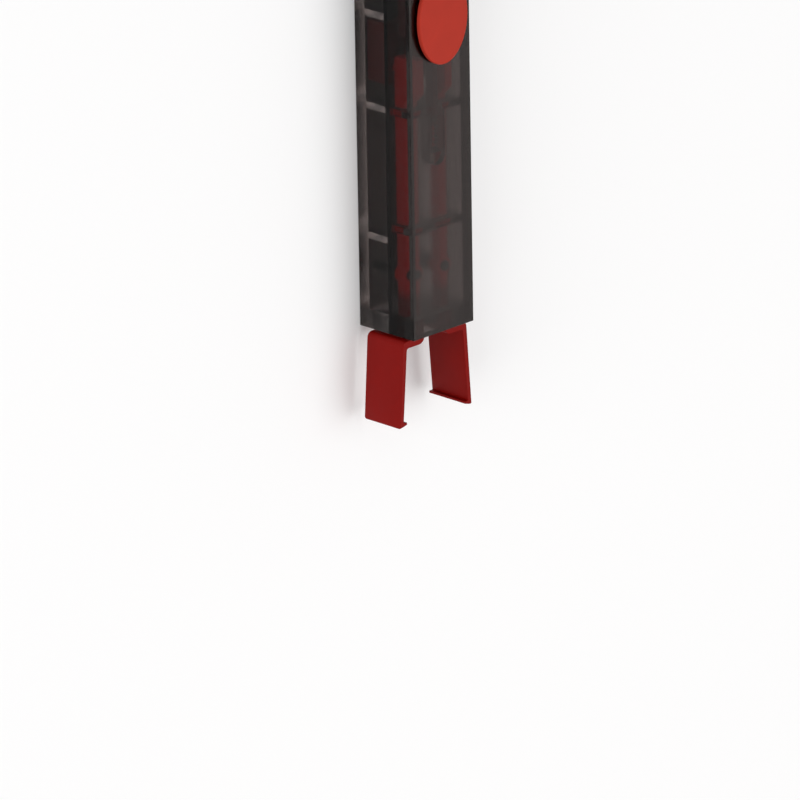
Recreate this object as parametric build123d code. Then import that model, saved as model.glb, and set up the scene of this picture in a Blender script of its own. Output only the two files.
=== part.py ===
from build123d import *
import math
import os

os.makedirs("parts", exist_ok=True)

# Spring-jaw puller, lying on the back of its housing. All sizes are in millimetres.
# X runs across the jaws, +Y from the jaws to the butt end, +Z from the back to the thumb pad.
# A length along the tool is counted from the mouth end of the housing, jaws on the minus side.

# Housing, two moulded half shells
housing_width = 16.6
housing_depth = 14.6
housing_length = 104.0
wall = 1.8
mouth_wall = 3.5
parting_height = 7.9
long_edge_radius = 0.15
end_edge_radius = 0.12
lip_width = 0.6
lip_height = 0.3
lip_gap = 0.05

# Cross ribs inside the shells
rib_thickness = 1.4
rib_height = 1.3
rear_low_rib = 18.6
front_low_rib = 21.4
middle_rib = 45.0
rear_high_rib = 63.6
top_rib = 85.0

# Clearances
run_gap = 0.4
slide_gap = 0.3
stop_gap = 0.3
rest_gap = 0.7
seat_gap = 0.05
pin_seat_gap = 0.02
pin_run_gap = 0.05
cam_gap = 0.08

# Thumb pad with its neck, and its stroke toward the jaws
pad_width = 13.1
pad_length = 18.4
pad_thickness = 1.0
pad_lift = 0.4
pad_edge_bevel = 0.2
pad_place = 63.5
neck_width = 4.4
neck_length = 5.6
stroke = 4.0

# Jaws, one moulding each: arm, pivot barrel, flange, plate and hook
open_angle = 2.5
pivot_place = 11.7
arm_inner = 2.9
arm_thickness = 1.9
arm_width = 2.4
arm_top = 55.6
head_length = 9.2
head_gap = 0.6
barrel_diameter = 3.6
flange_gap = 0.7
flange_thickness = 1.5
plate_thickness = 0.95
plate_width = 9.8
plate_top_half = 8.7
plate_tip_half = 9.9
jaw_reach = 18.2
bend_radius = 1.2
inner_bend_radius = 0.5
corner_radius = 0.5
hook_depth = 0.9
hook_height = 1.0
hook_land = 0.45
peg_diameter = 1.6
peg_length = 2.2
peg_below_top = 2.4

# Headed pivot pins and their bosses in the rear shell
pin_diameter = 1.5
pin_head = 2.1
pin_head_height = 0.5
pin_seat = 0.8
boss_diameter = 3.4
boss_gap = 0.2

# Cam slider
cam_depth = 2.2
web_width = 5.2
carrier_width = 11.2
carrier_thickness = 2.6
carrier_length = 11.2
tongue_width = 1.3
tongue_thickness = 2.0
foot_width = 2.5
foot_length = 2.0
foot_place = 43.3
spigot_diameter = 1.2
spigot_length = 1.6
neck_seat_depth = 1.6

# Return spring and its pocket
spring_outer = 2.1
spring_wire = 0.3
spring_wire_sides = 6
spring_turns = 6
spring_wall_gap = 0.1
spring_seat = 36.2
pocket_gap = 0.25
pocket_wall = 0.6

# Pad screw
screw_diameter = 1.6
screw_length = 3.8
screw_head = 3.0
screw_head_height = 1.1
screw_place = 64.2
drive_width = 0.45
drive_span = 1.7
drive_depth = 0.55

# Places worked out from the sizes above
overlap = 0.2
mouth_y = jaw_reach - (housing_length + jaw_reach) / 2
cavity_half = housing_width / 2 - wall
front_inner = housing_depth - wall
mid_height = housing_depth / 2
arm_outer = arm_inner + arm_thickness
pivot_x = arm_inner + arm_thickness / 2
arm_low = parting_height
arm_high = arm_low + arm_width
tongue_high = front_inner - slide_gap
tongue_low = tongue_high - tongue_thickness
head_high = front_inner - head_gap
block_high = arm_low - run_gap
block_low = wall + slide_gap
block_half = cavity_half - slide_gap
block_start = middle_rib + rib_thickness / 2 + stroke + stop_gap
block_end = rear_high_rib - rib_thickness / 2 - rest_gap
web_start = arm_top + run_gap + stroke
carrier_low = tongue_high - carrier_thickness
pocket_low = arm_high + slide_gap
pocket_half = foot_width / 2 + pocket_gap
spring_height = front_inner - spring_wall_gap - spring_outer / 2
peg_place = arm_top - peg_below_top
neck_low = tongue_high - neck_seat_depth + seat_gap
front_face = housing_depth
rear_rib_top = min(arm_low, carrier_low - screw_head_height) - run_gap
front_rib_low = arm_high + slide_gap
mouth_half = arm_outer + pivot_place * math.tan(math.radians(open_angle)) + run_gap


def along(place):
    return mouth_y + place


def block(x0, x1, l0, l1, z0, z1):
    centre = ((x0 + x1) / 2, along((l0 + l1) / 2), (z0 + z1) / 2)
    return Pos(*centre) * Box(x1 - x0, l1 - l0, z1 - z0)


def post(x, place, z0, z1, diameter):
    return Pos(x, along(place), (z0 + z1) / 2) * Cylinder(diameter / 2, z1 - z0)


def slot_block(x, place, width, length, z0, z1):
    outline = Rot(0, 0, 90) * SlotOverall(length, width)
    return Pos(x, along(place), z0) * extrude(outline, z1 - z0)


# Outside of the housing and its hollow
shell = block(-housing_width / 2, housing_width / 2, 0, housing_length, 0, housing_depth)
shell = fillet(shell.edges().filter_by(Axis.Y), long_edge_radius)
ends = shell.faces().sort_by(Axis.Y)
shell = fillet(ends[0].edges() + ends[-1].edges(), end_edge_radius)
cavity_end = housing_length - wall
shell -= block(-cavity_half, cavity_half, mouth_wall, cavity_end, wall, front_inner)
mouth_low = arm_low - run_gap
mouth_high = arm_high + run_gap
mouth = block(-mouth_half, mouth_half, -1, mouth_wall + 1, mouth_low, mouth_high)
shell -= mouth

far = housing_width
low_half = block(-far, far, -1, housing_length + 1, -1, parting_height)
high_half = block(-far, far, -1, housing_length + 1, parting_height, housing_depth + 1)


def rib(place, cross0, cross1, side0, side1):
    start = place - rib_thickness / 2
    end = place + rib_thickness / 2
    reach = cavity_half + overlap
    inner = cavity_half - rib_height
    made = block(-reach, reach, start, end, cross0, cross1)
    made += block(-reach, -inner, start, end, side0, side1)
    made += block(inner, reach, start, end, side0, side1)
    return made


# Rear shell: ribs, locating lip on each end wall, pin bosses
rear_shell = shell & low_half
for place in (rear_low_rib, middle_rib, rear_high_rib, top_rib):
    rear_shell += rib(place, wall - overlap, rear_rib_top, wall, parting_height)
lip = block(
    -cavity_half,
    cavity_half,
    mouth_wall - lip_width,
    cavity_end + lip_width,
    parting_height - overlap,
    parting_height + lip_height,
)
lip -= block(-cavity_half, cavity_half, mouth_wall, cavity_end, 0, housing_depth)
rear_shell += lip - mouth
pin_low = wall - pin_seat
pin_neck = arm_high + pin_run_gap
for side in (-1, 1):
    x = side * pivot_x
    rear_shell += post(x, pivot_place, wall - overlap, arm_low - boss_gap, boss_diameter)
    hole = pin_diameter + 2 * pin_seat_gap
    rear_shell -= post(x, pivot_place, pin_low - seat_gap, arm_low, hole)

# Front shell: rebates for the lips, ribs, spring pocket, pad slot
front_shell = shell & high_half
rebate = lip_width + lip_gap
rebate_top = parting_height + lip_height + lip_gap
rebate_half = cavity_half + lip_gap
for start, end in ((mouth_wall - rebate, mouth_wall), (cavity_end, cavity_end + rebate)):
    front_shell -= block(-rebate_half, rebate_half, start, end, parting_height - 1, rebate_top)
for place in (front_low_rib, middle_rib, top_rib):
    front_shell += rib(place, front_rib_low, front_inner + overlap, rebate_top, front_inner)
pocket_outer = pocket_half + pocket_wall
pocket_top = middle_rib
pocket_start = spring_seat - pocket_wall
pocket = block(-pocket_outer, pocket_outer, pocket_start, pocket_top, pocket_low, front_inner + overlap)
pocket += post(0, pocket_start, pocket_low, front_inner + overlap, 2 * pocket_outer)
front_shell += pocket
front_shell -= block(
    -pocket_half,
    pocket_half,
    spring_seat,
    middle_rib + rib_thickness,
    pocket_low - 1,
    front_inner,
)
front_shell -= slot_block(
    0,
    pad_place - stroke / 2,
    neck_width + 2 * slide_gap,
    neck_length + stroke + 2 * slide_gap,
    front_inner - 1,
    front_face + 1,
)

# Thumb pad: oval plate with a neck that goes through the slot
pad_base = front_face + pad_lift
thumb_pad = Pos(0, along(pad_place), pad_base) * extrude(
    Ellipse(pad_width / 2, pad_length / 2), pad_thickness
)
thumb_pad = chamfer(thumb_pad.edges().group_by(Axis.Z)[-1], pad_edge_bevel)
thumb_pad += slot_block(0, pad_place, neck_width, neck_length, neck_low, pad_base + overlap)
screw_base = carrier_low
screw_tip = screw_base + screw_length
thumb_pad -= post(0, screw_place, neck_low - 1, screw_tip + seat_gap, screw_diameter + 2 * pin_seat_gap)

# Cam slider: cam block behind the arms, web over their tops, carrier under the pad, tongue and foot
cam_slider = block(-block_half, block_half, block_start, block_end, block_low, block_high)
cam_slider = fillet(cam_slider.edges().filter_by(Axis.Y), end_edge_radius)
web_half = web_width / 2
carrier_half = carrier_width / 2
carrier_end = web_start + carrier_length
cam_slider += block(
    -web_half, web_half, web_start, block_end, block_high - overlap, carrier_low + overlap
)
carrier = block(-carrier_half, carrier_half, web_start, carrier_end, carrier_low, tongue_high)
carrier = fillet(carrier.edges().filter_by(Axis.Z), corner_radius)
cam_slider += carrier
tongue_half = tongue_width / 2
cam_slider += block(
    -tongue_half, tongue_half, foot_place, web_start + overlap, tongue_low, tongue_high
)
foot_half = foot_width / 2
cam_slider += block(
    -foot_half, foot_half, foot_place, foot_place + foot_length, pocket_low, tongue_high
)
spigot_centre = along(foot_place - spigot_length / 2 + overlap / 2)
cam_slider += Pos(0, spigot_centre, spring_height) * Rot(90, 0, 0) * Cylinder(
    spigot_diameter / 2, spigot_length + overlap
)
cam_slider -= slot_block(
    0,
    pad_place,
    neck_width + 2 * seat_gap,
    neck_length + 2 * seat_gap,
    neck_low - seat_gap,
    tongue_high + 1,
)
cam_slider -= post(0, screw_place, carrier_low - 1, tongue_high, screw_diameter + 2 * seat_gap)
lever = peg_place - pivot_place
swing = math.radians(open_angle)
cam_run_x = lever * math.sin(swing)
cam_run_y = stroke - lever * (1 - math.cos(swing))
cam_angle = math.degrees(math.atan2(cam_run_y, cam_run_x))
cam_width = peg_diameter + 2 * cam_gap
cam_length = math.hypot(cam_run_x, cam_run_y) + cam_width + 2 * stop_gap
for side in (-1, 1):
    x = side * (pivot_x - cam_run_x / 2)
    turn = 180 - cam_angle if side > 0 else cam_angle
    outline = Rot(0, 0, turn) * SlotOverall(cam_length, cam_width)
    groove = extrude(outline, cam_depth + 1)
    cam_slider -= Pos(x, along(peg_place + cam_run_y / 2), block_high - cam_depth) * groove

# Jaw section across the tool, drawn for the right jaw
flange_top = -flange_gap
flange_low = -flange_gap - flange_thickness
tip = -jaw_reach
section_points = [
    (arm_inner, along(flange_low)),
    (arm_inner, along(arm_top)),
    (arm_outer, along(arm_top)),
    (arm_outer, along(flange_top)),
    (plate_top_half, along(flange_top)),
    (plate_tip_half, along(tip)),
    (plate_tip_half - plate_thickness - hook_depth, along(tip + hook_height - hook_land)),
    (plate_tip_half - plate_thickness - hook_depth, along(tip + hook_height)),
    (plate_tip_half - plate_thickness, along(tip + hook_height)),
    (plate_top_half - plate_thickness, along(flange_low)),
]
section = make_face(Polyline(*section_points, close=True))


def corner(index):
    target = Vector(*section_points[index])
    return section.vertices().sort_by_distance(target)[0]


section = fillet([corner(4)], bend_radius)
section = fillet([corner(3), corner(9)], inner_bend_radius)
section = fillet([corner(0)], inner_bend_radius + plate_thickness)

# Jaw outline seen from the side, in the plane of Y and Z
plate_low = mid_height - plate_width / 2
plate_high = mid_height + plate_width / 2
shoulder = -flange_gap / 2
head_start = arm_top - head_length
head_slope = head_high - arm_high
outline_points = [
    (along(tip), plate_low),
    (along(shoulder), plate_low),
    (along(shoulder), arm_low),
    (along(arm_top), arm_low),
    (along(arm_top), head_high),
    (along(head_start + head_slope), head_high),
    (along(head_start), arm_high),
    (along(shoulder), arm_high),
    (along(shoulder), plate_high),
    (along(tip), plate_high),
]
outline = make_face(Polyline(*outline_points, close=True))
rounded = []
for index in (0, 1, 3, 4, 8, 9):
    target = Vector(*outline_points[index])
    rounded.append(outline.vertices().sort_by_distance(target)[0])
outline = fillet(rounded, corner_radius)
blank = extrude(Plane.YZ * outline, 2 * housing_width)
right_jaw = extrude(section, 2 * housing_depth) & blank
right_jaw += post(pivot_x, pivot_place, arm_low, arm_high, barrel_diameter)
right_jaw -= post(
    pivot_x, pivot_place, arm_low - 1, arm_high + 1, pin_diameter + 2 * pin_run_gap
)
right_jaw += post(pivot_x, peg_place, arm_low - peg_length, arm_low + overlap, peg_diameter)
left_jaw = mirror(right_jaw, about=Plane.YZ)

# Pivot pins, each with a head that keeps its jaw on
right_jaw_pin = post(pivot_x, pivot_place, pin_low, pin_neck + overlap, pin_diameter)
right_jaw_pin += post(pivot_x, pivot_place, pin_neck, pin_neck + pin_head_height, pin_head)
left_jaw_pin = mirror(right_jaw_pin, about=Plane.YZ)

# Return spring between the pocket's seat and the slider's foot
spring_radius = (spring_outer - spring_wire) / 2
spring_run = foot_place - spring_seat - spring_wire
coil = Helix(
    pitch=spring_run / spring_turns,
    height=spring_run,
    radius=spring_radius,
    center=(0, along(spring_seat + spring_wire / 2), spring_height),
    direction=(0, 1, 0),
)
wire_face = Plane(origin=coil @ 0, z_dir=coil % 0) * RegularPolygon(spring_wire / 2, spring_wire_sides)
return_spring = sweep(wire_face, path=coil, is_frenet=True)

# Pad screw, driven from inside before the shells are closed
head_low = screw_base - screw_head_height
pad_screw = post(0, screw_place, head_low, screw_base, screw_head)
pad_screw += post(0, screw_place, screw_base - overlap, screw_tip, screw_diameter)
drive_half = drive_span / 2
blade_half = drive_width / 2
for across, lengthwise in ((drive_half, blade_half), (blade_half, drive_half)):
    pad_screw -= block(
        -across,
        across,
        screw_place - lengthwise,
        screw_place + lengthwise,
        head_low - 1,
        head_low + drive_depth,
    )

nodes = {
    "front_shell": front_shell,
    "rear_shell": rear_shell,
    "thumb_pad": thumb_pad,
    "cam_slider": cam_slider,
    "left_jaw": left_jaw,
    "right_jaw": right_jaw,
    "left_jaw_pin": left_jaw_pin,
    "right_jaw_pin": right_jaw_pin,
    "return_spring": return_spring,
    "pad_screw": pad_screw,
}
for name, solid in nodes.items():
    export_step(solid, "parts/" + name + ".step")
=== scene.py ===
"""Spring-jaw puller: finishes, fine pieces and stage, laid out as an add-on. All lengths are in metres."""
import math

import bmesh
import bpy
from bpy.props import FloatProperty, FloatVectorProperty, IntProperty, PointerProperty
from bpy.types import Operator, Panel, PropertyGroup
from mathutils import Matrix, Vector


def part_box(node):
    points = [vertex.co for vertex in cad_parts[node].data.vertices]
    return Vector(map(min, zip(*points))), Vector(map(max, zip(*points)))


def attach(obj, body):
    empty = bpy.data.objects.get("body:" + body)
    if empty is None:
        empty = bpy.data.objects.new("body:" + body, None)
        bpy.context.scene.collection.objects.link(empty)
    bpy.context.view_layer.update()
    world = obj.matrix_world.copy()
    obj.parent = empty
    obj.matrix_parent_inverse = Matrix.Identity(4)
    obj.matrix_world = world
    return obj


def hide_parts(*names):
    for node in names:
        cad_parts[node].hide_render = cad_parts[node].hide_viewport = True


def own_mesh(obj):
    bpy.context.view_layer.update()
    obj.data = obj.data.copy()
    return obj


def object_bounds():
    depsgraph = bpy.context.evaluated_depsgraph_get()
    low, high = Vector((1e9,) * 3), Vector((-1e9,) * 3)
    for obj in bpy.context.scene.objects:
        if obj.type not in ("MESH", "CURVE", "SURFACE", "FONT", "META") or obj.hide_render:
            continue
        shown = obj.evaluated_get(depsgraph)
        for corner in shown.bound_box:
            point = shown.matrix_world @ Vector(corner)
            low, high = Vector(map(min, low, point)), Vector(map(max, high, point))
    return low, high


bl_info = {
    "name": "Spring-jaw puller",
    "version": (1, 0, 0),
    "blender": (4, 5, 0),
    "location": "View3D > Sidebar > Puller",
    "description": "Finishes, fine pieces and stage of a puller with a smoky housing and red jaws",
    "category": "Object",
}

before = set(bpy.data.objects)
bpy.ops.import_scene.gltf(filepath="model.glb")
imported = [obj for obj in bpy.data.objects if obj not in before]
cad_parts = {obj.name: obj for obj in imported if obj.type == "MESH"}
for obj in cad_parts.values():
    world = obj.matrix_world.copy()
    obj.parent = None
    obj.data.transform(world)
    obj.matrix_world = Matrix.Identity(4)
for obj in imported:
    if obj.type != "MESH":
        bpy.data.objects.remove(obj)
cad_low, cad_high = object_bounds()
mouth_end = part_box("front_shell")[0].y

MM = 0.001
WHITE = (1.0, 1.0, 1.0)

# Size of a normal's Z: up to the first a face counts as a side, from the second as a front or back face
SIDE_FACING = 0.4
FLAT_FACING = 0.9

# Noise cells to a metre
SWIRL_CELLS = 160.0
HAZE_CELLS = 900.0
SHELL_GRAIN_CELLS = 5000.0
RED_CLOUD_CELLS = 240.0
RED_GRAIN_CELLS = 4000.0
STEEL_GRAIN_CELLS = 3000.0

# Moulded grain: its height, and how strongly it shows on each plastic
GRAIN_HEIGHT = 0.02 * MM
SHELL_GRAIN = 0.15
RED_GRAIN = 0.2

# How far the red plastic strays from its middle roughness and from its colour
ROUGH_STRAY = 0.07
COLOUR_STRAY = 0.1

# Angles between two faces above which an edge is shaded as one, or gets a radius
SHADED_ANGLE = math.radians(38)
ROUNDED_ANGLE = math.radians(35)

# Clean-up of a copied mesh before its edges are rounded
SAME_POINT = 0.001 * MM
SAME_PLANE = math.radians(1)
SHORT_EDGE = 0.08 * MM
SLIVER = 0.005 * MM

# Steps across a rounded edge, steps in a quarter turn of the pad's rims, and rings of the pad's crown
EDGE_STEPS = 3
RIM_STEPS = 5
CROWN_RINGS = (0.25, 0.5, 0.75)


def length(name, description, default):
    return FloatProperty(name=name, description=description, default=default, unit="LENGTH", precision=5)


def number(name, description, default, least=0.0):
    return FloatProperty(name=name, description=description, default=default, min=least)


def whole(name, description, default, least):
    return IntProperty(name=name, description=description, default=default, min=least)


def share(name, description, default):
    return FloatProperty(
        name=name, description=description, default=default, min=0.0, max=1.0, subtype="FACTOR"
    )


def angle(name, description, degrees):
    return FloatProperty(
        name=name, description=description, default=math.radians(degrees), unit="ROTATION", subtype="ANGLE"
    )


def colour(name, description, default):
    return FloatVectorProperty(
        name=name, description=description, default=default, size=3, min=0.0, max=1.0, subtype="COLOR"
    )


def direction(name, description, default):
    return FloatVectorProperty(name=name, description=description, default=default, size=3, subtype="XYZ")


def spot(name, description, default):
    return FloatVectorProperty(
        name=name, description=description, default=default, size=3, precision=5, subtype="TRANSLATION"
    )


class SmokySettings(PropertyGroup):
    """Smoked see-through plastic of the two half shells."""

    front_side: colour(
        "Front side tint", "Colour that the front shell's sides let through", (0.34, 0.322, 0.317)
    )
    rear_side: colour(
        "Rear side tint", "Colour that the rear shell's sides let through", (0.52, 0.495, 0.489)
    )
    face_tint: colour(
        "Face tint", "Colour that the front and back walls let through at their faces", (0.19, 0.165, 0.16)
    )
    swirl: share("Swirl", "How much darker the faint swirls are", 0.08)
    body: colour("Body colour", "Colour that light keeps inside the wall", (0.50, 0.46, 0.45))
    front_density: number("Front density", "How much a metre of the front shell takes away", 260.0)
    rear_density: number("Rear density", "How much a metre of the rear shell takes away", 120.0)
    bend: number("Index", "Index of refraction", 1.45, 1.0)
    front_mirror: colour("Front mirror", "Colour of what the front shell mirrors square on", (0.0, 0.0, 0.0))
    rear_mirror: colour("Rear mirror", "Colour of what the rear shell mirrors square on", (0.05, 0.05, 0.05))
    polish: share("Polish", "Gloss of the polished front face", 0.4)
    polish_rough: share("Polish roughness", "Roughness of that gloss", 0.2)
    polish_bend: number("Polish index", "Index of refraction of that gloss", 1.5, 1.0)
    # Painted shade: the four settings below darken the sides near the mouth by position; their deep smoke is
    # painted shade, not denser plastic
    mouth_shade: share("Mouth depth", "What the sides near the mouth let through, beside the rest", 0.2)
    mouth_shade_to: length("Deep to", "How far from the mouth's end the deep smoke is whole", 3.4 * MM)
    mouth_shade_fade: length("Deep fade", "Length over which the deep smoke fades", 1.2 * MM)
    mouth_shade_low: length("Deep above", "Height over the back at which the deep smoke begins", 2.6 * MM)
    lamp_pass: colour("Lamp light", "Colour that lamp light keeps at each face", (0.70, 0.685, 0.685))
    smooth: share("Smoothest", "Roughness of the clearest spots", 0.17)
    rough: share("Roughest", "Roughness of the haziest spots", 0.24)


class RedSettings(PropertyGroup):
    """Red moulded plastic of the jaws and the slider."""

    jaw: colour("Jaw colour", "Colour of the jaws outside the housing", (0.213, 0.0042, 0.0028))
    # Painted light: the arm colour is far lighter than the jaw colour, standing in for light that the arms
    # inside the housing don't get; the two lengths below say where along the tool it begins and is whole
    arm_painted_light: colour("Arm colour", "Colour of the jaws' arms inside the housing", (0.74, 0.010, 0.008))
    slider: colour("Slider colour", "Colour of the cam slider", (0.1, 0.005, 0.004))
    rough: share("Roughness", "Middle roughness of the jaws and the slider", 0.45)
    arm_painted_light_from: length("Arm from", "Where the arm colour begins, along the tool", -0.0364)
    arm_painted_light_to: length("Arm to", "Where the arm colour is whole, along the tool", -0.0338)
    jaw_edge: length("Jaw edge", "Radius of the jaws' moulded edges", 0.08 * MM)
    slider_edge: length("Slider edge", "Radius of the slider's moulded edges", 0.08 * MM)


class PadSettings(PropertyGroup):
    """Thumb pad: an oval plate on a neck."""

    face: colour("Pad colour", "Colour of the thumb pad", (0.418, 0.0342, 0.0203))
    rough: share("Roughness", "Middle roughness of the thumb pad", 0.55)
    thickness: length("Plate thickness", "Thickness of the oval plate", 1.0 * MM)
    rim: length("Rim radius", "Radius round the plate's upper edge", 0.3 * MM)
    under_rim: length("Lower rim radius", "Radius round the plate's lower edge", 0.12 * MM)
    crown: length("Crown", "How far the face rises in its middle", 0.04 * MM)
    neck_width: length("Neck width", "Across the tool", 4.4 * MM)
    neck_length: length("Neck length", "Along the tool", 5.6 * MM)
    neck_fillet: length("Neck fillet", "Radius between the neck and the plate", 0.2 * MM)
    neck_bevel: length("Neck bevel", "Bevel at the neck's end and at the mouth of its hole", 0.1 * MM)
    hole: length("Screw hole", "Diameter of the hole in the neck", 1.64 * MM)
    hole_shift: length("Hole shift", "From the pad's middle toward the butt end", 0.7 * MM)
    hole_depth: length("Hole depth", "Depth of the hole in the neck", 2.8 * MM)
    sides: whole("Sides", "Points round the oval", 96, 24)


class SteelSettings(PropertyGroup):
    """Blackened steel of the spring, the pins and the screw."""

    metal: colour("Steel colour", "Colour of the blackened steel", (0.06, 0.058, 0.055))
    shine: colour("Rubbed colour", "Colour where the blackening is thin", (0.11, 0.105, 0.10))
    smooth: share("Smoothest", "Roughness where the blackening is thick", 0.3)
    rough: share("Roughest", "Roughness where the blackening is thin", 0.48)
    wire: length("Spring wire", "Diameter of the spring's wire", 0.3 * MM)
    turns: number("Turns", "All turns of the spring", 7.5, 3.0)
    closed: number("Closed turns", "Turns at each end that lie close", 0.9)
    turn_steps: whole("Steps", "Points along one turn", 28, 8)
    wire_sides: whole("Wire sides", "Points round the wire", 10, 5)
    pin_shank: length("Pin shank", "Diameter of a pin below its head", 1.5 * MM)
    pin_head: length("Pin head", "Height of a pin's head", 0.5 * MM)
    pin_bevel: length("Pin bevel", "Bevel at the ends of a pin", 0.12 * MM)
    pin_sides: whole("Pin sides", "Points round a pin", 40, 12)
    screw_edge: length("Screw edge", "Radius of the screw's edges", 0.07 * MM)


class StageSettings(PropertyGroup):
    """Floor, light and camera."""

    floor: colour("Floor colour", "Colour of the floor", (0.97, 0.97, 0.97))
    floor_radius: length("Floor radius", "Radius of the round floor", 4.0)
    floor_sides: whole("Floor sides", "Points round the floor", 96, 24)
    floor_drop: length("Floor drop", "How far the floor lies below the tool", 0.05 * MM)
    sky: number("Sky", "Radiance of the even light all around", 0.35)
    lamp_distance: length("Lamp distance", "From the tool to each of the lamps", 1.6)
    key: number("Key", "Radiance of the soft box", 1.75)
    key_size: length("Key size", "Side of the square soft box", 1.9)
    key_toward: direction("Key direction", "Toward the soft box", (0.18, -0.10, 1.0))
    sheen: number("Sheen", "Radiance of the card that the front mirrors", 0.82)
    sheen_size: length("Sheen size", "Side of the square card", 0.6)
    sheen_colour: colour("Sheen colour", "Colour of the card that the front mirrors", (1.0, 0.8, 0.75))
    side: number("Side", "Radiance of the card at the left jaw's side", 3.0)
    side_size: length("Side size", "Side of the square card at the left jaw's side", 1.0)
    side_toward: direction("Side direction", "Toward the card at the left jaw's side", (-0.94, 0.10, 0.36))
    turn: angle("Camera turn", "Round the long axis, from the pad's side to the left jaw's side", 45.26)
    rise: angle("Camera rise", "From square on to the long axis toward the butt end", 19.58)
    roll: angle("Camera roll", "About the line of sight", 0.97)
    aim: spot("Camera aim", "Point that the camera looks at", (0.0, -59.95 * MM, 2.35 * MM))
    distance: length("Camera distance", "From the aimed point", 1.7532)
    sensor: number("Sensor", "Width of the camera's sensor in millimetres", 36.0, 1.0)
    lens: number("Lens", "Focal length in millimetres", 405.0, 1.0)


class PullerSettings(PropertyGroup):
    """All settings of the puller."""

    smoky: PointerProperty(type=SmokySettings)
    red: PointerProperty(type=RedSettings)
    pad: PointerProperty(type=PadSettings)
    steel: PointerProperty(type=SteelSettings)
    stage: PointerProperty(type=StageSettings)


def new_material(name):
    made = bpy.data.materials.new(name)
    made.use_nodes = True
    made.node_tree.nodes.clear()
    return made, made.node_tree


def add(tree, kind, values=None, **settings):
    made = tree.nodes.new(kind)
    for name, value in settings.items():
        setattr(made, name, value)
    for name, value in (values or {}).items():
        made.inputs[name].default_value = value
    return made


def solid(rgb):
    return (*rgb, 1.0)


def noise(tree, place, cells, detail, distortion=0.0):
    """Add a noise that is fixed to the piece."""
    made = add(tree, "ShaderNodeTexNoise", {"Scale": cells, "Detail": detail, "Distortion": distortion})
    tree.links.new(place.outputs["Object"], made.inputs["Vector"])
    return made.outputs["Fac"]


def ramp(tree, value, low, high, start=0.0, end=1.0):
    """Take a value from low to high onto start to end, and hold it beyond them."""
    made = add(
        tree, "ShaderNodeMapRange", {"From Min": low, "From Max": high, "To Min": start, "To Max": end}
    )
    tree.links.new(value, made.inputs["Value"])
    return made.outputs["Result"]


def parts(tree, vector):
    """Take a vector apart into X, Y and Z."""
    made = add(tree, "ShaderNodeSeparateXYZ")
    tree.links.new(vector, made.inputs["Vector"])
    return made.outputs


def product(tree, first, second):
    """Multiply two values."""
    made = add(tree, "ShaderNodeMath", operation="MULTIPLY")
    tree.links.new(first, made.inputs[0])
    tree.links.new(second, made.inputs[1])
    return made.outputs["Value"]


def graded(tree, factor, first, second):
    """Go from one colour to another."""
    made = add(tree, "ShaderNodeMix", data_type="RGBA")
    made.inputs["A"].default_value = solid(first)
    made.inputs["B"].default_value = solid(second)
    tree.links.new(factor, made.inputs["Factor"])
    return made.outputs["Result"]


def multiplied(tree, level):
    """Add a node that multiplies the colour at its socket A by a value."""
    made = add(tree, "ShaderNodeMix", {"Factor": 1.0}, data_type="RGBA", blend_type="MULTIPLY")
    tree.links.new(level, made.inputs["B"])
    return made


def raised(tree, height, strength):
    """Turn a noise into moulded grain."""
    made = add(tree, "ShaderNodeBump", {"Strength": strength, "Distance": GRAIN_HEIGHT})
    tree.links.new(height, made.inputs["Height"])
    return made.outputs["Normal"]


def output(tree, shader):
    made = add(tree, "ShaderNodeOutputMaterial")
    tree.links.new(shader, made.inputs["Surface"])
    return made


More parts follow.
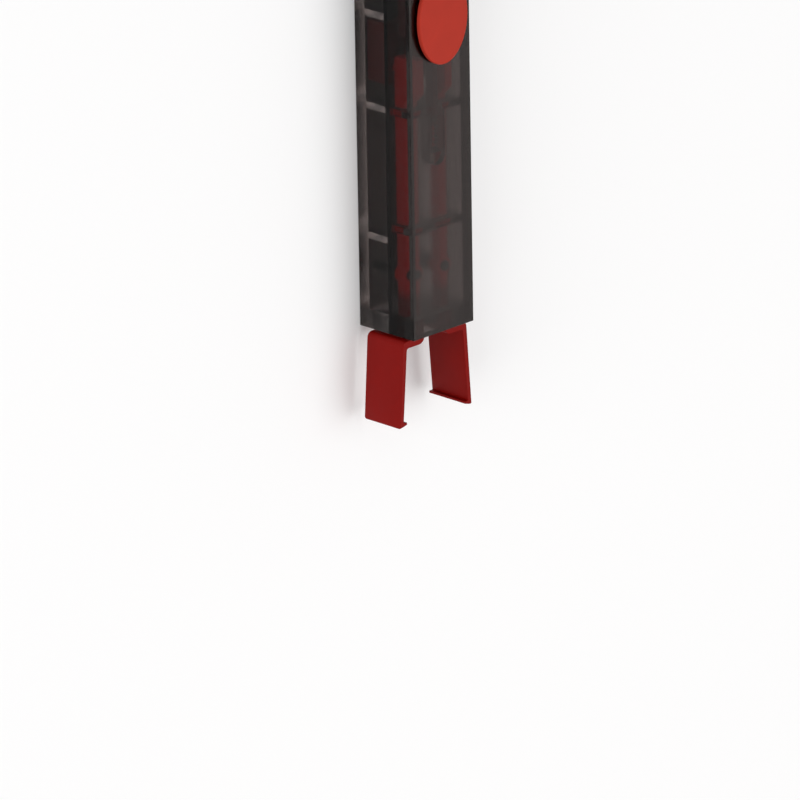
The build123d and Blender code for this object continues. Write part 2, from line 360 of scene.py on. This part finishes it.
def smoky_plastic(name, look, density, side_tint, mirror, polish):
    """Make a smoked clear plastic with its own tint on the sides and on the front and back walls, and
    painted shade on the sides near the mouth.
    """
    made, tree = new_material(name)
    link = tree.links.new
    place = add(tree, "ShaderNodeTexCoord")
    where = parts(tree, place.outputs["Object"])
    normal = parts(tree, place.outputs["Normal"])
    square = add(tree, "ShaderNodeMath", operation="ABSOLUTE")
    link(normal["Z"], square.inputs[0])
    flatness = square.outputs["Value"]

    facing = ramp(tree, flatness, SIDE_FACING, FLAT_FACING)
    swirl = noise(tree, place, SWIRL_CELLS, 2.0, 1.2)
    swirled = multiplied(tree, ramp(tree, swirl, 0.0, 1.0, 1.0, 1.0 - look.swirl))
    link(graded(tree, facing, side_tint, look.face_tint), swirled.inputs["A"])

    # Painted shade: the tint on the sides near the mouth is darkened by position, where the tool shows
    # nearly black
    mouth_shade_end = mouth_end + look.mouth_shade_to
    near_mouth = ramp(tree, where["Y"], mouth_shade_end, mouth_shade_end + look.mouth_shade_fade, 1.0, 0.0)
    above = ramp(tree, where["Z"], look.mouth_shade_low, look.mouth_shade_low + look.mouth_shade_fade)
    sideways = ramp(tree, flatness, SIDE_FACING, FLAT_FACING, 1.0, 0.0)
    mouth_shade_mask = product(tree, product(tree, near_mouth, above), sideways)
    mouth_shaded = multiplied(tree, ramp(tree, mouth_shade_mask, 0.0, 1.0, 1.0, look.mouth_shade))
    link(swirled.outputs["Result"], mouth_shaded.inputs["A"])

    shader = add(
        tree,
        "ShaderNodeBsdfPrincipled",
        {
            "IOR": look.bend,
            "Transmission Weight": 1.0,
            "Specular Tint": solid(mirror),
            "Coat IOR": look.polish_bend,
            "Coat Roughness": look.polish_rough,
        },
    )
    haze = noise(tree, place, HAZE_CELLS, 3.0)
    grain = noise(tree, place, SHELL_GRAIN_CELLS, 2.0)
    link(mouth_shaded.outputs["Result"], shader.inputs["Base Color"])
    link(ramp(tree, haze, 0.0, 1.0, look.smooth, look.rough), shader.inputs["Roughness"])
    link(raised(tree, grain, SHELL_GRAIN), shader.inputs["Normal"])
    if polish > 0.0:
        polished = ramp(tree, normal["Z"], SIDE_FACING, FLAT_FACING, 0.0, polish)
        link(polished, shader.inputs["Coat Weight"])

    # Shadow rays and diffuse bounces go straight through, because refraction would block the lamps' light
    path = add(tree, "ShaderNodeLightPath")
    lamp = add(tree, "ShaderNodeBsdfTransparent", {"Color": solid(look.lamp_pass)})
    direct = add(tree, "ShaderNodeMixShader")
    link(path.outputs["Is Shadow Ray"], direct.inputs["Fac"])
    link(shader.outputs["BSDF"], direct.inputs[1])
    link(lamp.outputs["BSDF"], direct.inputs[2])
    bounced = add(tree, "ShaderNodeMixShader")
    link(path.outputs["Is Diffuse Ray"], bounced.inputs["Fac"])
    link(direct.outputs["Shader"], bounced.inputs[1])
    link(lamp.outputs["BSDF"], bounced.inputs[2])

    inside = add(tree, "ShaderNodeVolumeAbsorption", {"Color": solid(look.body), "Density": density})
    out = output(tree, bounced.outputs["Shader"])
    link(inside.outputs["Volume"], out.inputs["Volume"])
    return made


def moulded_red(name, base, rough, arm_painted_light=None, arm_painted_light_from=0.0, arm_painted_light_to=1.0):
    """Make a satin red plastic which, where an arm colour is given, goes over to it along the tool: painted
    light that lightens the arms inside the housing.
    """
    made, tree = new_material(name)
    link = tree.links.new
    place = add(tree, "ShaderNodeTexCoord")
    grain = noise(tree, place, RED_GRAIN_CELLS, 3.0)
    cloud = noise(tree, place, RED_CLOUD_CELLS, 4.0, 0.6)
    clouded = multiplied(tree, ramp(tree, cloud, 0.0, 1.0, 1.0 - COLOUR_STRAY, 1.0 + COLOUR_STRAY))
    if arm_painted_light is None:
        clouded.inputs["A"].default_value = solid(base)
    else:
        # Painted light: past a point along the tool the arms go over to the lighter arm colour, and toward
        # the mouth they keep the jaw colour
        where = parts(tree, place.outputs["Object"])
        reach = ramp(tree, where["Y"], arm_painted_light_from, arm_painted_light_to)
        link(graded(tree, reach, base, arm_painted_light), clouded.inputs["A"])
    shader = add(tree, "ShaderNodeBsdfPrincipled", {"IOR": 1.5, "Specular IOR Level": 0.08})
    spread = ramp(tree, cloud, 0.0, 1.0, rough - ROUGH_STRAY, rough + ROUGH_STRAY)
    link(clouded.outputs["Result"], shader.inputs["Base Color"])
    link(spread, shader.inputs["Roughness"])
    link(raised(tree, grain, RED_GRAIN), shader.inputs["Normal"])
    output(tree, shader.outputs["BSDF"])
    return made


def blackened_steel(look):
    """Make the steel of the spring, the pins and the screw, once for all of them."""
    found = bpy.data.materials.get("blackened_steel")
    if found:
        return found
    made, tree = new_material("blackened_steel")
    link = tree.links.new
    place = add(tree, "ShaderNodeTexCoord")
    grain = noise(tree, place, STEEL_GRAIN_CELLS, 3.0)
    shader = add(tree, "ShaderNodeBsdfPrincipled", {"Metallic": 1.0})
    link(graded(tree, grain, look.metal, look.shine), shader.inputs["Base Color"])
    link(ramp(tree, grain, 0.0, 1.0, look.smooth, look.rough), shader.inputs["Roughness"])
    output(tree, shader.outputs["BSDF"])
    return made


def dress(node, material):
    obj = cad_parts[node]
    obj.data.materials.clear()
    obj.data.materials.append(material)


def place_piece(context, work, name, material, body, node):
    """Turn a bmesh into a piece that stands for a node and rides on its body."""
    bmesh.ops.recalc_face_normals(work, faces=work.faces)
    mesh = bpy.data.meshes.new(name)
    for face in work.faces:
        face.smooth = True
    work.to_mesh(mesh)
    work.free()
    mesh.set_sharp_from_angle(angle=SHADED_ANGLE)
    mesh.materials.append(material)
    made = bpy.data.objects.new(name, mesh)
    context.scene.collection.objects.link(made)
    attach(made, body)
    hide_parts(node)
    return made


def skin(rings, first, last):
    """Join rings of points into a closed skin, with a point at each end."""
    work = bmesh.new()
    rows = [[work.verts.new(point) for point in ring] for ring in rings]
    count = len(rows[0])
    for low, high in zip(rows, rows[1:]):
        for i in range(count):
            j = (i + 1) % count
            work.faces.new((low[i], low[j], high[j], high[i]))
    for point, ring in ((first, rows[0]), (last, rows[-1])):
        tip = work.verts.new(point)
        for i in range(count):
            work.faces.new((tip, ring[i], ring[(i + 1) % count]))
    return work


def rounded_copy(node, radius):
    """Copy a node's mesh, round its outward edges and keep it inside the node's box."""
    low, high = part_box(node)
    work = bmesh.new()
    work.from_mesh(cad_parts[node].data)
    bmesh.ops.remove_doubles(work, verts=work.verts, dist=SAME_POINT)
    bmesh.ops.dissolve_limit(
        work, angle_limit=SAME_PLANE, use_dissolve_boundaries=False, verts=work.verts, edges=work.edges
    )
    bmesh.ops.remove_doubles(work, verts=work.verts, dist=SHORT_EDGE)
    bmesh.ops.dissolve_degenerate(work, dist=SLIVER, edges=work.edges)
    sharp = []
    for edge in work.edges:
        if len(edge.link_faces) == 2 and edge.is_convex and edge.calc_face_angle() > ROUNDED_ANGLE:
            sharp.append(edge)
    if not sharp:
        work.free()
        raise RuntimeError(node + " has no edges to round")
    bmesh.ops.bevel(
        work,
        geom=sharp,
        offset=radius,
        offset_type="OFFSET",
        segments=EDGE_STEPS,
        profile=0.5,
        affect="EDGES",
        clamp_overlap=False,
        loop_slide=False,
    )
    for vert in work.verts:
        for i in range(3):
            vert.co[i] = min(max(vert.co[i], low[i]), high[i])
    return work


def lay_floor(context, stage):
    mesh = bpy.data.meshes.new("floor")
    disc = bmesh.new()
    bmesh.ops.create_circle(disc, cap_ends=True, segments=stage.floor_sides, radius=stage.floor_radius)
    disc.to_mesh(mesh)
    disc.free()
    floor = bpy.data.objects.new("floor", mesh)
    floor.location.z = cad_low.z - stage.floor_drop
    context.scene.collection.objects.link(floor)
    made, tree = new_material("floor")
    shader = add(tree, "ShaderNodeBsdfDiffuse", {"Color": solid(stage.floor)})
    output(tree, shader.outputs["BSDF"])
    mesh.materials.append(made)


def light_sky(context, stage):
    world = bpy.data.worlds.new("studio")
    world.use_nodes = True
    context.scene.world = world
    background = world.node_tree.nodes["Background"]
    background.inputs["Color"].default_value = solid(WHITE)
    background.inputs["Strength"].default_value = stage.sky


def place_camera(context, stage):
    """Set the camera at the photograph's viewing angle, and give the direction from the tool to it."""
    turn, rise, roll = stage.turn, stage.rise, stage.roll
    back = Vector((-math.sin(turn) * math.cos(rise), math.sin(rise), math.cos(turn) * math.cos(rise)))
    level = Vector((math.cos(turn), 0.0, math.sin(turn)))
    upright = back.cross(level)
    right = level * math.cos(roll) - upright * math.sin(roll)
    up = upright * math.cos(roll) + level * math.sin(roll)
    eye = bpy.data.cameras.new("camera")
    eye.sensor_width = stage.sensor
    eye.lens = stage.lens
    camera = bpy.data.objects.new("camera", eye)
    axes = Matrix((right, up, back)).transposed().to_4x4()
    camera.matrix_world = Matrix.Translation(Vector(stage.aim) + back * stage.distance) @ axes
    context.scene.collection.objects.link(camera)
    context.scene.camera = camera
    return back


def hang_lamp(context, name, toward, distance, radiance, side, shade=WHITE):
    """Hang a square lamp of a given radiance that faces the tool."""
    lamp = bpy.data.lights.new(name, "AREA")
    lamp.shape = "SQUARE"
    lamp.size = side
    lamp.color = shade
    lamp.energy = radiance * math.pi * side ** 2
    made = bpy.data.objects.new(name, lamp)
    made.location = toward * distance
    made.rotation_euler = toward.to_track_quat("Z", "Y").to_euler()
    context.scene.collection.objects.link(made)
    return made


class PULLER_OT_shells(Operator):
    """Finish the two half shells in smoked plastic"""

    bl_idname = "puller.shells"
    bl_label = "Half shells"

    def execute(self, context):
        look = context.scene.puller.smoky
        front = smoky_plastic(
            "smoky_front", look, look.front_density, look.front_side, look.front_mirror, look.polish
        )
        rear = smoky_plastic("smoky_rear", look, look.rear_density, look.rear_side, look.rear_mirror, 0.0)
        dress("front_shell", front)
        dress("rear_shell", rear)
        return {"FINISHED"}


class PULLER_OT_jaws(Operator):
    """Make the two jaws with their moulded edges"""

    bl_idname = "puller.jaws"
    bl_label = "Jaws"

    def execute(self, context):
        red = context.scene.puller.red
        finish = moulded_red("red_jaw", red.jaw, red.rough, red.arm_painted_light, red.arm_painted_light_from, red.arm_painted_light_to)
        for node in ("left_jaw", "right_jaw"):
            work = rounded_copy(node, red.jaw_edge)
            place_piece(context, work, node + "_moulding", finish, node, node)
        return {"FINISHED"}


class PULLER_OT_slider(Operator):
    """Make the cam slider with its moulded edges"""

    bl_idname = "puller.slider"
    bl_label = "Cam slider"

    def execute(self, context):
        red = context.scene.puller.red
        finish = moulded_red("red_slider", red.slider, red.rough)
        work = rounded_copy("cam_slider", red.slider_edge)
        place_piece(context, work, "cam_slider_moulding", finish, "slider", "cam_slider")
        return {"FINISHED"}


class PULLER_OT_pad(Operator):
    """Make the thumb pad: an oval plate with a rounded rim on its neck"""

    bl_idname = "puller.pad"
    bl_label = "Thumb pad"

    def execute(self, context):
        pad = context.scene.puller.pad
        low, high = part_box("thumb_pad")
        middle = (low.y + high.y) / 2
        half_x, half_y = (high.x - low.x) / 2, (high.y - low.y) / 2
        if half_y < half_x:
            raise RuntimeError("the pad must be longer than it is wide")
        base = high.z - pad.thickness
        top = high.z - pad.crown
        bevel = pad.neck_bevel
        turns = [2 * math.pi * (i + 0.5) / pad.sides for i in range(pad.sides)]
        quarter = [math.radians(90 * i / RIM_STEPS) for i in range(RIM_STEPS + 1)]

        def hole(z, grow=0.0):
            reach = pad.hole / 2 + grow
            centre = middle + pad.hole_shift
            return [(reach * math.cos(a), centre + reach * math.sin(a), z) for a in turns]

        def neck(z, grow=0.0):
            reach = pad.neck_width / 2 + grow
            straight = (pad.neck_length - pad.neck_width) / 2
            return [
                (reach * math.cos(a), middle + math.copysign(straight, math.sin(a)) + reach * math.sin(a), z)
                for a in turns
            ]

        def oval(z, inset=0.0):
            return [
                ((half_x - inset) * math.cos(a), middle + (half_y - inset) * math.sin(a), z) for a in turns
            ]

        rings = [hole(low.z + pad.hole_depth), hole(low.z + bevel), hole(low.z, bevel)]
        rings += [neck(low.z, -bevel), neck(low.z + bevel)]
        for a in quarter:
            drop = pad.neck_fillet * (1 - math.sin(a))
            rings.append(neck(base - drop, pad.neck_fillet * (1 - math.cos(a))))
        for a in quarter:
            rings.append(oval(base + pad.under_rim * (1 - math.cos(a)), pad.under_rim * (1 - math.sin(a))))
        for a in quarter:
            rings.append(oval(top - pad.rim * (1 - math.sin(a)), pad.rim * (1 - math.cos(a))))
        for part in CROWN_RINGS:
            shrink = (half_x - pad.rim) * part + pad.rim
            rings.append(oval(top + pad.crown * (1 - (1 - part) ** 2), shrink))
        first = (0.0, middle + pad.hole_shift, low.z + pad.hole_depth)
        work = skin(rings, first, (0.0, middle, high.z))
        finish = moulded_red("red_pad", pad.face, pad.rough)
        place_piece(context, work, "thumb_pad_moulding", finish, "slider", "thumb_pad")
        return {"FINISHED"}


class PULLER_OT_spring(Operator):
    """Wind the return spring from round wire with closed ends"""

    bl_idname = "puller.spring"
    bl_label = "Return spring"

    def execute(self, context):
        look = context.scene.puller.steel
        low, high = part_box("return_spring")
        centre_x, centre_z = (low.x + high.x) / 2, (low.z + high.z) / 2
        coil = (high.x - low.x - look.wire) / 2
        thick = look.wire / 2
        run = high.y - low.y - look.wire
        open_run = run - 2 * look.closed * look.wire
        if open_run <= 0:
            raise RuntimeError("the spring's closed turns leave no room for open ones")
        count = round(look.turns * look.turn_steps)
        open_turns = look.turns - 2 * look.closed
        path = []
        for i in range(count + 1):
            turn = look.turns * i / count
            first = min(turn, look.closed) * look.wire
            last = max(turn - look.turns + look.closed, 0.0) * look.wire
            middle = min(max(turn - look.closed, 0.0), open_turns) / open_turns * open_run
            y = low.y + thick + first + middle + last
            a = 2 * math.pi * turn
            out = Vector((math.cos(a), 0.0, math.sin(a)))
            path.append((Vector((centre_x, y, centre_z)) + out * coil, out))
        rings = []
        for i, (point, out) in enumerate(path):
            ahead = path[min(i + 1, count)][0] - path[max(i - 1, 0)][0]
            side = ahead.cross(out).normalized()
            ring = []
            for k in range(look.wire_sides):
                a = 2 * math.pi * k / look.wire_sides
                ring.append(point + (out * math.cos(a) + side * math.sin(a)) * thick)
            rings.append(ring)
        work = skin(rings, path[0][0], path[-1][0])
        made = place_piece(
            context, work, "return_spring_wire", blackened_steel(look), "housing", "return_spring"
        )
        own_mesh(made)
        return {"FINISHED"}


class PULLER_OT_pins(Operator):
    """Turn the two pivot pins with their heads"""

    bl_idname = "puller.pins"
    bl_label = "Pivot pins"

    def execute(self, context):
        look = context.scene.puller.steel
        turns = [2 * math.pi * i / look.pin_sides for i in range(look.pin_sides)]
        for node in ("left_jaw_pin", "right_jaw_pin"):
            low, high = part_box(node)
            x, y = (low.x + high.x) / 2, (low.y + high.y) / 2
            head, shank, bevel = (high.x - low.x) / 2, look.pin_shank / 2, look.pin_bevel
            under = high.z - look.pin_head
            rings = []
            for radius, z in (
                (shank - bevel, low.z),
                (shank, low.z + bevel),
                (shank, under),
                (head, under),
                (head, high.z - bevel),
                (head - bevel, high.z),
            ):
                rings.append([(x + radius * math.cos(a), y + radius * math.sin(a), z) for a in turns])
            work = skin(rings, (x, y, low.z), (x, y, high.z))
            place_piece(context, work, node + "_turned", blackened_steel(look), "housing", node)
        return {"FINISHED"}


class PULLER_OT_screw(Operator):
    """Make the pad screw with its cross recess and rounded head"""

    bl_idname = "puller.screw"
    bl_label = "Pad screw"

    def execute(self, context):
        look = context.scene.puller.steel
        work = rounded_copy("pad_screw", look.screw_edge)
        place_piece(context, work, "pad_screw_turned", blackened_steel(look), "slider", "pad_screw")
        return {"FINISHED"}


class PULLER_OT_stage(Operator):
    """Lay the floor, set the light and the camera"""

    bl_idname = "puller.stage"
    bl_label = "Stage"

    def execute(self, context):
        stage = context.scene.puller.stage
        far = stage.lamp_distance
        lay_floor(context, stage)
        light_sky(context, stage)
        back = place_camera(context, stage)

        overhead = Vector(stage.key_toward).normalized()
        hang_lamp(context, "soft_box", overhead, far, stage.key, stage.key_size)
        # The front face mirrors this card into the photograph's view
        mirrored = Vector((-back.x, -back.y, back.z))
        hang_lamp(context, "sheen_card", mirrored, far, stage.sheen, stage.sheen_size, stage.sheen_colour)
        # This low card only lights surfaces: gloss doesn't mirror it, and it isn't seen through plastic
        leftward = Vector(stage.side_toward).normalized()
        side_card = hang_lamp(context, "side_card", leftward, far, stage.side, stage.side_size)
        side_card.visible_glossy = False
        side_card.visible_transmission = False

        context.scene.view_settings.view_transform = "Standard"
        return {"FINISHED"}


class PULLER_PT_pieces(Panel):
    """Lists the pieces in the 3D view's sidebar"""

    bl_idname = "PULLER_PT_pieces"
    bl_label = "Puller"
    bl_space_type = "VIEW_3D"
    bl_region_type = "UI"
    bl_category = "Puller"

    def draw(self, context):
        for kind in OPERATORS:
            self.layout.operator(kind.bl_idname)


SETTINGS = (SmokySettings, RedSettings, PadSettings, SteelSettings, StageSettings, PullerSettings)
OPERATORS = (
    PULLER_OT_shells,
    PULLER_OT_jaws,
    PULLER_OT_slider,
    PULLER_OT_pad,
    PULLER_OT_spring,
    PULLER_OT_pins,
    PULLER_OT_screw,
    PULLER_OT_stage,
)


def register():
    for kind in (*SETTINGS, *OPERATORS, PULLER_PT_pieces):
        bpy.utils.register_class(kind)
    bpy.types.Scene.puller = PointerProperty(type=PullerSettings)


def unregister():
    del bpy.types.Scene.puller
    for kind in reversed((*SETTINGS, *OPERATORS, PULLER_PT_pieces)):
        bpy.utils.unregister_class(kind)


def main():
    register()
    bpy.ops.puller.shells()
    bpy.ops.puller.jaws()
    bpy.ops.puller.slider()
    bpy.ops.puller.pad()
    bpy.ops.puller.spring()
    bpy.ops.puller.pins()
    bpy.ops.puller.screw()
    bpy.ops.puller.stage()


if __name__ == "__main__":
    main()
